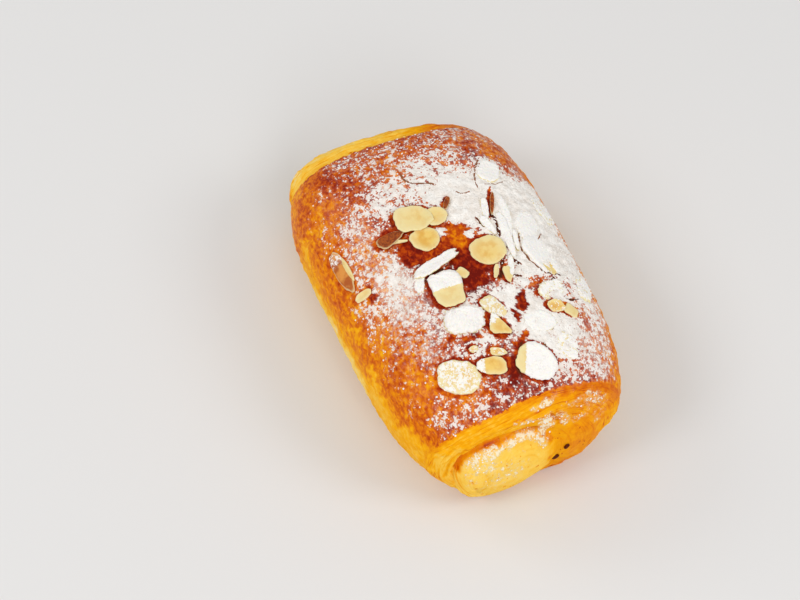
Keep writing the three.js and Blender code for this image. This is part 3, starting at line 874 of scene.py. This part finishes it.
dusting = {                      # thickness, and cover by the flake's length u, width v and radius r
    "bare": (0.0, lambda u, v, r: 0 * r),
    "few": (0.1, lambda u, v, r: 0.34 + 0 * r),
    "some": (0.15, lambda u, v, r: 0.62 - 0.3 * ease(0.75, 1, r)),
    "dusty": (0.2, lambda u, v, r: 0.9 - 0.35 * ease(0.8, 1, r) - 0.3 * ease(0.0, 0.5, u)),
    "most": (0.25, lambda u, v, r: 1.2 - 0.6 * ease(0.8, 1, r)),
    "all": (0.25, lambda u, v, r: 1.7 - 1.7 * ease(0.93, 1, r)),
    "half": (0.5, lambda u, v, r: np.clip(0.8 - 20 * (u + 0.04 * v), -1, 2.4)),
    "heap": (0.7, lambda u, v, r: 2.2 - 1.9 * ease(0.9, 1, r)),
    "crescent": (0.3, lambda u, v, r: np.clip(0.8 + 14 * (0.89 * u + 0.45 * v + 0.58), -1, 2.2)),
    "corner": (0.25, lambda u, v, r: (1.6 - 1.6 * ease(0.25, 0.4, u)
                                      * ease(0.05, -0.1, abs(v + 0.2) - 0.34))),
    "tip": (0.15, lambda u, v, r: 1.2 * ease(-0.3, -0.6, u)),
    "left": (0.1, lambda u, v, r: 0.8 * ease(-0.1, -0.6, u)),
}


def flakeTree(material):
    tree, given, result = newGeometryTree("almondFlake", flake)
    grid = {"Size X": 2.0, "Size Y": 2.0,        # the shape is worked out from -1 to 1 each way
            "Vertices X": flakeSheet["rows"], "Vertices Y": flakeSheet["columns"]}
    sheet = put(tree, "GeometryNodeMeshGrid", grid, "Mesh")
    squareX, squareY, _ = apart(put(tree, "GeometryNodeInputPosition"))

    def disc(first, second):     # turns the square sheet into a round one
        return first * calc("SQRT", 1.0 - second * second * 0.5)

    def radius(first, second):
        return calc("SQRT", first * first + second * second)
    u, v = disc(squareX, squareY), disc(squareY, squareX)
    crowd = 1.0 + flakeSheet["crowd"] - radius(u, v) * flakeSheet["crowd"]
    u, v = u * crowd, v * crowd
    for name, value in (("flakeU", u), ("flakeV", v), ("flakeR", radius(u, v))):
        sheet = marked(sheet, name, value)
    u, v, r = (stored(tree, name) for name in ("flakeU", "flakeV", "flakeR"))
    own = joined(u, v, given["Seed"])

    power = given["Square"]      # 2 is an ellipse, more fills the corners
    around = calc("MAXIMUM", r, flakeSheet["leastRadius"])
    corner = abs(u / around) ** power + abs(v / around) ** power
    corner = calc("MAXIMUM", corner, flakeSheet["leastCorner"]) ** (-1.0 / power)
    wedge = 2 * math.pi / given["Sides"]         # flat sides with corners between them
    angle = calc("ARCTAN2", v, u) + (given["Seed"] + flakeSheet["turnStart"])
    inWedge = calc("MODULO", angle, wedge) - wedge * 0.5
    flat = calc("COSINE", wedge * given["Flat"]) / calc("COSINE", inWedge)
    corner = corner * calc("MINIMUM", flat, 1.0)
    crumbly = (grain(own, *flakeSheet["crumbs"]) - 0.5) * given["Crumbly"]
    ragged = grain(own, *flakeSheet["ragged"]) - 0.5 + crumbly
    growth = calc("MULTIPLY_ADD", ragged * r, given["Wobble"] * 2.0, 1.0) * corner
    x = u * growth * (given["Length"] * 0.5)
    y = v * growth * (given["Width"] * 0.5 * (1.0 - given["Taper"] * u))
    lift = given["Cup"] * (r * r + (grain(own, *flakeSheet["wave"]) - 0.5))
    blunt = calc("SQRT", calc("MAXIMUM", 0.0, 1.0 - r ** flakeSheet["edgePower"]))
    body = blunt * (given["Thickness"] * 0.5)

    def face(z, top):
        shape = {"Geometry": sheet, "Position": scaled(joined(x, y, z), mm)}
        return marked(put(tree, "GeometryNodeSetPosition", shape), "flakeTop", top)
    both = addNode(tree, "GeometryNodeJoinGeometry")
    fill(both, {0: put(tree, "GeometryNodeFlipFaces", {"Mesh": face(lift - body, 0.0)})})
    fill(both, {0: face(lift + body, 1.0)})
    weld = {"Geometry": Flow(both.outputs[0]), "Distance": flakeSheet["weld"] * mm}
    endTree(put(tree, "GeometryNodeMergeByDistance", weld), result, material)
    return tree


def crustFrame(along, across):   # middle, two ways along the crust, the way out, and its bends
    station = (along - roll["lean"] * across) / roll["rimHalf"]
    half = stationSizes(station)[0]
    angle = math.acos(signedPower(across / half, roll["crownPower"] / 2))
    step = flakeSeat["step"]
    middle = skinPoint(station, angle)
    before, after = (skinPoint(station + way * step / roll["rimHalf"], angle) for way in (-1, 1))
    left, right = (skinPoint(station, angle - way * step / half) for way in (-1, 1))
    alongX = (after - before) / np.linalg.norm(after - before)
    acrossY = (right - left) / np.linalg.norm(right - left)
    out = np.cross(alongX, acrossY)
    out /= np.linalg.norm(out)

    def bend(a, b):
        return np.dot(2 * middle - a - b, out) / (np.linalg.norm(a - b) / 2) ** 2
    return middle, alongX, acrossY, out, bend(before, after), bend(left, right)


def addFlakes(material):
    tree = flakeTree(material)
    points, faces, layers = [], [], {"sugar": [], "skinTone": [], "gold": [], "flakeR": []}
    draw = np.random.default_rng(flakeSeat["draw"])
    start = 0
    for number, own in enumerate(flakes):
        thickly = own["sugar"] in thickSugar
        sizes = {"Length": float(own["size"][0]), "Width": float(own["size"][1]),
                 "Seed": flakeSeat["seedStep"] * number,
                 "Taper": own["taper"], "Square": float(own["square"]),
                 "Sides": own.get("sides", flakeSeat["sides"] + number * 3 % 4),
                 "Flat": own.get("flat", flake["Flat"]),
                 "Wobble": flake["Wobble"] * (flakeSeat["sugarWobble"] if thickly else 1.0),
                 "Crumbly": flakeSeat["sugarCrumbly"] if thickly else flake["Crumbly"],
                 "Cup": flake["Cup"] * draw.uniform(*flakeSeat["cup"])}
        blank = newPiece("flakeBlank", [(0, 0, 0)], [])
        bakeTree(blank, tree, {**flake, **sizes})
        mesh = blank.data
        count = len(mesh.vertices)
        a, b, h = (readPoints(mesh) / mm).T
        u, v, r, top = (readLayer(mesh, name) for name in ("flakeU", "flakeV", "flakeR", "flakeTop"))
        thick, rule = dusting[own["sugar"]]
        cover = rule(u, v, r) * ease(*flakeSeat["topFrom"], top)
        uneven = 1
        for height, alongA, alongB, acrossA, acrossB in flakeSeat["waves"]:
            first = np.sin(alongA * a + alongB * b + number)
            uneven = uneven + height * first * np.sin(acrossA * a + acrossB * b + 2 * number)
        h = h + thick * uneven * np.clip(cover, 0, 1) * ease(*flakeSeat["sugarEdge"], r)
        turn, slope = math.radians(own["turn"]), math.sin(math.radians(own["tilt"]))
        x = a * math.cos(turn) - b * math.sin(turn)
        y = a * math.sin(turn) + b * math.cos(turn)
        middle, alongX, acrossY, out, bendX, bendY = crustFrame(*own["at"])
        drop = flakeSeat["bend"] * (bendX * x * x + bendY * y * y) / 2
        lift = h + flake["Thickness"] / 2 - flakeSeat["sink"] + own["seat"] + b * slope - drop
        points.append((middle + np.outer(x, alongX) + np.outer(y, acrossY) + np.outer(lift, out)) * mm)
        faces += [[start + i for i in polygon.vertices] for polygon in mesh.polygons]
        start += count
        layers["sugar"].append(cover)
        layers["skinTone"].append(np.full(count, own["skin"]))
        toneWay = u * math.cos(number) + v * math.sin(number)
        layers["gold"].append(own["tone"] * (1 + flakeSeat["toneSlope"] * toneWay))
        layers["flakeR"].append(r)
        bpy.data.objects.remove(blank)
        bpy.data.meshes.remove(mesh)
    piece = newPiece("almondFlakes", np.concatenate(points).tolist(), faces)
    for name, values in layers.items():
        store(piece.data, name, np.concatenate(values))
    smooth(piece)
    piece.data.materials.append(material)
    print("flakes:", len(flakes), "with", len(faces), "faces")
    return piece


# clumps of icing sugar lying on the crust

clumps = {"Density": 0.6, "Size": 0.28, "Flatten": 0.6, "Seed": 11}
clumpCover = (0.12, 1.0)         # cover at which clumps start, and where they lie thickest
clumpSizes = (0.4, 1.4)          # smallest and largest, in shares of the size


def clumpTree(material):
    tree, given, result = newGeometryTree("sugarClumps", clumps)
    perArea = spread(stored(tree, "sugar"), *clumpCover) * given["Density"] * (1 / mm ** 2)
    spots = addNode(tree, "GeometryNodeDistributePointsOnFaces",
                    {"Mesh": given["Geometry"], "Density": perArea, "Seed": given["Seed"]},
                    distribute_method="RANDOM").outputs
    ball = put(tree, "GeometryNodeMeshIcoSphere", {"Radius": mm, "Subdivisions": 1})
    least, most = (given["Size"] * share for share in clumpSizes)
    size = put(tree, "FunctionNodeRandomValue", {2: least, 3: most, "Seed": given["Seed"]}, 1,
               data_type="FLOAT")
    placed = put(tree, "GeometryNodeInstanceOnPoints",
                 {"Points": Flow(spots["Points"]), "Rotation": Flow(spots["Rotation"]),
                  "Instance": ball, "Scale": joined(size, size, size * given["Flatten"])})
    endTree(placed, result, material)
    return tree


def addClumps(under, material):
    points, faces, cover, start = [], [], [], 0
    for piece in under:
        points.append(readPoints(piece.data))
        cover.append(readLayer(piece.data, "sugar"))
        faces += [[start + i for i in polygon.vertices] for polygon in piece.data.polygons]
        start += len(points[-1])
    piece = newPiece("sugarClumps", np.concatenate(points).tolist(), faces)
    store(piece.data, "sugar", np.clip(np.concatenate(cover), 0, 1))
    bakeTree(piece, clumpTree(material), clumps)
    print("sugar clumps:", len(piece.data.polygons), "faces")
    return piece


# two burnt specks on the near end: across, up, size along and across, lean in degrees

specks = {
    "places": [(10.7, 17.4, 1.25, 0.7, 62), (7.4, 11.6, 1.45, 1.0, 70)],
    "height": 0.45, "out": 0.35, "rough": 0.18,
}


def addSpecks(dough, material):
    points, faces = [], []
    where = readPoints(dough.data) / mm
    for across, up, long, wide, lean in specks["places"]:
        far = np.hypot(where[:, 1] - across, where[:, 2] - up)
        far[where[:, 0] < 0] = np.inf            # not on the far end
        nearest = dough.data.vertices[int(np.argmin(far))]
        sideways = Vector((0, math.cos(math.radians(lean)), math.sin(math.radians(lean))))
        out = nearest.normal
        first = (sideways - out * sideways.dot(out)).normalized()
        second = out.cross(first)
        ball = bmesh.new()
        bmesh.ops.create_icosphere(ball, subdivisions=3, radius=1.0)
        start = len(points)
        for vertex in ball.verts:
            a, b, c = vertex.co
            rough = 1 + specks["rough"] * math.sin(5 * a + 3 * b + up) * math.cos(4 * b - 2 * c)
            step = (first * (a * long * rough) + second * (b * wide * rough)
                    + out * (c * specks["height"]))
            points.append(nearest.co + (step + out * specks["out"]) * mm)
        faces += [[start + vertex.index for vertex in face.verts] for face in ball.faces]
        ball.free()
    piece = newPiece("burntSpecks", points, faces)
    smooth(piece)
    piece.data.materials.append(material)
    print("specks:", len(faces), "faces")
    return piece


# finishes: a noise is size in millimetres, detail, roughness and distortion
# four numbers for a step are from, to, and the values there

dust = {
    # clumps, powder and drifts: noise, share
    "noises": [((1.55, 3.0, 0.55), 0.52), ((0.62, 1.0), 0.26), ((5.0, 2.0), 0.22)],
    "noiseSpan": (0.37, 0.63), "soft": 0.08, "least": 0.12, "gain": 0.83,
    "filmFrom": (0.05, 0.5), "filmGap": (-0.7, 0.0), "thin": (0.4, 1.2, 0.84, 1.0), "top": 1.3,
}


def dustGroup():                 # where icing sugar covers a surface, from how thickly it lies
    tree, given, result = newTree("icingDust", "ShaderNodeTree",
                                  {"Place": "Vector", "Cover": "Float", "Film": "Float"},
                                  {"Mask": "Float", "Height": "Float"})
    mixed = 0.0
    for noise, share in dust["noises"]:
        mixed = calc("MULTIPLY_ADD", grain(given["Place"], *noise), share, mixed)
    level = spread(mixed, *dust["noiseSpan"])
    gap = given["Cover"] * dust["gain"] - dust["least"] - level
    grains = spread(gap, -dust["soft"], dust["soft"])
    film = given["Film"] * spread(given["Cover"], *dust["filmFrom"]) * spread(gap, *dust["filmGap"])
    mask = calc("MAXIMUM", grains * spread(given["Cover"], *dust["thin"]), film)
    fill(result, {"Mask": mask, "Height": grains * (dust["top"] - level)})
    return tree


def dusted(group, place, cover, film):
    inputs = {"Place": place, "Cover": cover, "Film": film}
    made = addNode(place.tree, "ShaderNodeGroup", inputs, node_tree=group)
    return Flow(made.outputs["Mask"]), Flow(made.outputs["Height"])


def bumped(height, strength, depth):
    inputs = {"Strength": strength, "Distance": depth * mm, "Height": height}
    return put(height.tree, "ShaderNodeBump", inputs)


# sugarBounceCream is partly thin sugar over yellow dough and partly painted warm light bounced off the
# dough
sugarWhite, sugarShade, sugarBounceCream = srgb(252, 247, 240), srgb(240, 231, 221), srgb(255, 238, 196)
sugarRoughness = 0.95
crust = {
    "stops": [(0.0, srgb(248, 228, 180)), (0.14, srgb(254, 208, 86)), (0.28, srgb(248, 174, 8)),
              (0.42, srgb(234, 138, 0)), (0.56, srgb(216, 106, 0)), (0.70, srgb(188, 70, 0)),
              (0.85, srgb(150, 34, 0)), (1.0, srgb(110, 14, 0))],
    "broad": (9.0, 2.0), "mottle": (2.2, 3.0, 0.6), "crinkle": (1.6, 4.0, 0.6, 0.5),
    "layers": (0.9, 3.0, 0.6, 0.4), "fold": (2.6, 2.0, 0.5), "pore": (1.5, 1.0), "powder": (2.6, 3.0),
    "waver": (2.6, 4.0, 0.65), "sway": 5.0,      # the uneven edge of the skin
    "crinkleRun": 0.8, "layerRun": 0.3, "foldRun": 0.1,      # less than 1 draws a noise out
    "layerApart": 40.0, "foldApart": 70.0,       # keeps the noises on the ends unlike each other
    "onEnd": (-0.2, -0.9), "skinEdge": (-0.5, 0.2),
    "rich": (0.2, 0.6, 0.06, 0.28), "calm": (0.2, 0.55, 0.28, 1.0),      # noise by how brown it is
    "broadShare": (0.35, 0.1), "mottleShare": (-0.05, 0.5),      # added on the skin, and everywhere
    "crinkleCut": (0.34, 0.66), "layerShare": (-10.0, -15.0, 0.32, 0.1),
    "poreCut": (0.31, 0.25), "poreShare": (-12.0, -16.0, 0.0, 0.27),
    "foldCut": (0.0, 0.035, 1.0, 0.0), "foldBreak": (0.4, 0.6, 0.25, 1.0),
    "foldShare": (-12.0, -16.0, 0.26, 0.06), "dentShadeShare": 0.4,
    # slit colours are painted shade in the gaps: the dark one for wide gaps, the lighter one for
    # narrow gaps
    "slit": srgb(84, 36, 14), "slitThinShade": srgb(150, 98, 62),
    "slitShadeDeep": (0.1, 0.35), "slitSway": (0.38, 0.62, 0.1, 1.6), "slitSoft": 0.2,
    "powderCut": (0.35, 0.65), "cream": 0.75,
    "roughness": 0.42, "mottleRough": 0.2, "endRough": 0.1, "specular": 0.05,
    "gloss": (0.25, 0.6, 0.0, 0.14), "coatRoughness": 0.12,
    "crinkleBump": 0.9, "mottleBump": 0.5, "layerBump": 0.5, "sugarBump": 0.7, "bump": (0.8, 0.45),
}


def crustMaterial(group):
    material, tree, shader = newMaterial("bakedCrust")
    place = millimetres(tree)

    def noise(name, where=place):
        return grain(where, *crust[name])

    def step(name, value):
        return spread(value, *crust[name])
    fromRim, girth, slitWide = (reading(tree, name) for name in ("fromRim", "girth", "slitWide"))
    broad, mottle = noise("broad"), noise("mottle")
    crinkle = noise("crinkle", joined(apart(place)[0] * crust["crinkleRun"], girth))
    layers = noise("layers", joined(girth * crust["layerRun"], fromRim, crust["layerApart"]))
    fold = noise("fold", joined(girth * crust["foldRun"], fromRim, crust["foldApart"]))
    onEnd = step("onEnd", fromRim)
    onSkin = 1.0 - onEnd
    skinEdge = step("skinEdge", fromRim + (noise("waver") - 0.5) * crust["sway"])
    endBrown, skinBrown = reading(tree, "endBrown"), reading(tree, "skinBrown")
    level = put(tree, "ShaderNodeMix", {0: skinEdge, 2: endBrown, 3: skinBrown})
    rich, calm = step("rich", level), step("calm", level)
    skinMore, everywhere = crust["broadShare"]
    level += (broad - 0.5) * (onSkin * calm * skinMore + everywhere)
    skinMore, everywhere = crust["mottleShare"]
    level += (mottle - 0.5) * (calm * (onSkin * skinMore + everywhere))
    level += (step("crinkleCut", crinkle) - 0.5) * (onSkin * rich)
    level += (layers - 0.5) * (onEnd * step("layerShare", fromRim))
    level += step("poreCut", noise("pore")) * step("poreShare", fromRim)
    edges = step("foldCut", abs(fold - 0.5)) * step("foldBreak", broad)
    level += edges * (onEnd * step("foldShare", fromRim))        # thin edges of the folded dough
    # cracks and pits are painted darker: painted shade in the creases
    level += reading(tree, "dent") * crust["dentShadeShare"]

    # in the slits the sugar is taken away and the crust painted dark brown, as painted shade in the
    # gaps
    wide = slitWide * step("slitSway", mottle)
    slit = spread(abs(reading(tree, "slitSide")), wide, wide + crust["slitSoft"], 1.0, 0.0)
    slit *= reading(tree, "slitNear")
    gapShadeTone = tint(step("slitShadeDeep", slitWide), crust["slitThinShade"], crust["slit"])
    colour = tint(slit, rampOf(level, crust["stops"]), gapShadeTone)
    mask, height = dusted(group, place, reading(tree, "sugar") * (1.0 - slit), reading(tree, "film"))
    powder = tint(step("powderCut", noise("powder")), sugarShade, sugarWhite)
    # on the ends the sugar is tinted cream: thin sugar over the dough, and painted warm bounce light
    powder = tint(onEnd * crust["cream"], powder, sugarBounceCream)
    bare = 1.0 - mask
    rough = mottle * crust["mottleRough"] + crust["roughness"] + onEnd * crust["endRough"]
    bumps = crinkle * onSkin * crust["crinkleBump"] + mottle * crust["mottleBump"]
    bumps += layers * onEnd * crust["layerBump"]
    fill(shader, {
        "Base Color": tint(mask, colour, powder),
        "Roughness": spread(mask, 0.0, 1.0, rough, sugarRoughness),
        "Specular IOR Level": crust["specular"],
        "Coat Weight": bare * step("gloss", level),
        "Coat Roughness": crust["coatRoughness"],
        "Normal": bumped(height * crust["sugarBump"] + bumps * bare, *crust["bump"]),
    })
    return material


almond = {
    "cream": srgb(240, 224, 170), "gold": srgb(240, 202, 112), "amber": srgb(226, 172, 76),
    "skin": srgb(176, 86, 20), "skinDark": srgb(126, 48, 6), "thinSkin": srgb(222, 146, 62),
    "cloud": (3.2, 3.0), "fibre": (0.7, 3.0),
    "goldFade": (0.35, 0.95, 1.15, 0.45), "amberCut": (0.4, 0.62), "amberShare": 0.85,
    "paleRim": (0.84, 0.97), "paleShare": 0.6, "fibreCut": (0.35, 0.65), "cloudCut": (0.38, 0.62),
    "thinTo": (0.0, 0.5), "brownTo": (0.5, 1.0),     # a skin tone of 0.5 is thin, 1 is brown
    "dustScale": 1.5, "film": 0.15,
    "roughness": 0.45, "fibreRough": 0.2, "specular": 0.25,
    "glow": 0.15, "glowRadius": (1.0, 0.7, 0.4), "fibreBump": 0.3, "bump": (0.4, 0.25),
}


def almondMaterial(group):
    material, tree, shader = newMaterial("almondFlesh")
    place = millimetres(tree)

    def step(name, value):
        return spread(value, *almond[name])
    cloud, fibre = grain(place, *almond["cloud"]), grain(place, *almond["fibre"])
    radius, skinTone = reading(tree, "flakeR"), reading(tree, "skinTone")
    gold = reading(tree, "gold") * step("goldFade", radius)
    flesh = tint(gold, almond["cream"], almond["gold"])
    flesh = tint(step("amberCut", cloud) * (gold * almond["amberShare"]), flesh, almond["amber"])
    paleRim = step("paleRim", radius) * almond["paleShare"]
    flesh = tint(paleRim, flesh, almond["cream"])
    brown = tint(step("fibreCut", fibre), almond["skinDark"], almond["skin"])
    thin = tint(step("cloudCut", cloud), almond["thinSkin"], almond["skin"])
    skin = tint(step("brownTo", skinTone), thin, brown)
    colour = tint(step("thinTo", skinTone) * (1.0 - paleRim), flesh, skin)
    dustPlace = scaled(place, almond["dustScale"])
    mask, height = dusted(group, dustPlace, reading(tree, "sugar"), almond["film"])
    rough = fibre * almond["fibreRough"] + almond["roughness"]
    fill(shader, {
        "Base Color": tint(mask, colour, sugarWhite),
        "Roughness": spread(mask, 0.0, 1.0, rough, sugarRoughness),
        "Specular IOR Level": almond["specular"],
        "Subsurface Weight": almond["glow"],
        "Subsurface Radius": almond["glowRadius"],
        "Subsurface Scale": mm,
        "Normal": bumped(fibre * almond["fibreBump"] + height, *almond["bump"]),
    })
    return material


plain = {                        # noise, the two colours it mixes, roughness, specular level
    "icingSugar": ((0.5, 2.0), sugarWhite, srgb(240, 234, 228), sugarRoughness, 0.5),
    "burntCrumb": ((0.6, 2.0), srgb(56, 12, 0), srgb(108, 40, 4), 0.6, 0.1),
}


def plainMaterial(name):
    material, tree, shader = newMaterial(name)
    noise, first, second, roughness, specular = plain[name]
    fill(shader, {"Base Color": tint(grain(millimetres(tree), *noise), first, second),
                  "Roughness": roughness, "Specular IOR Level": specular})
    return material


floor = {"size": 6.0, "colour": srgb(227, 225, 223), "roughness": 0.7}


def addFloor():
    half = floor["size"] / 2
    corners = [(-half, -half, 0), (half, -half, 0), (half, half, 0), (-half, half, 0)]
    piece = newPiece("floor", corners, [(0, 1, 2, 3)])
    material, _, shader = newMaterial("paleFloor")
    fill(shader, {"Base Color": floor["colour"], "Roughness": floor["roughness"]})
    piece.data.materials.append(material)


bpy.context.scene.view_settings.view_transform = "Standard"
addCamera()
addLights()
addFloor()
print("studio ready")

group = dustGroup()
dough = addDough(crustMaterial(group))
almonds = addFlakes(almondMaterial(group))
sugar = addClumps((dough, almonds), plainMaterial("icingSugar"))
burnt = addSpecks(dough, plainMaterial("burntCrumb"))

for piece in (dough, almonds, sugar, burnt):
    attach(piece, "root")
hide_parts("croissant")
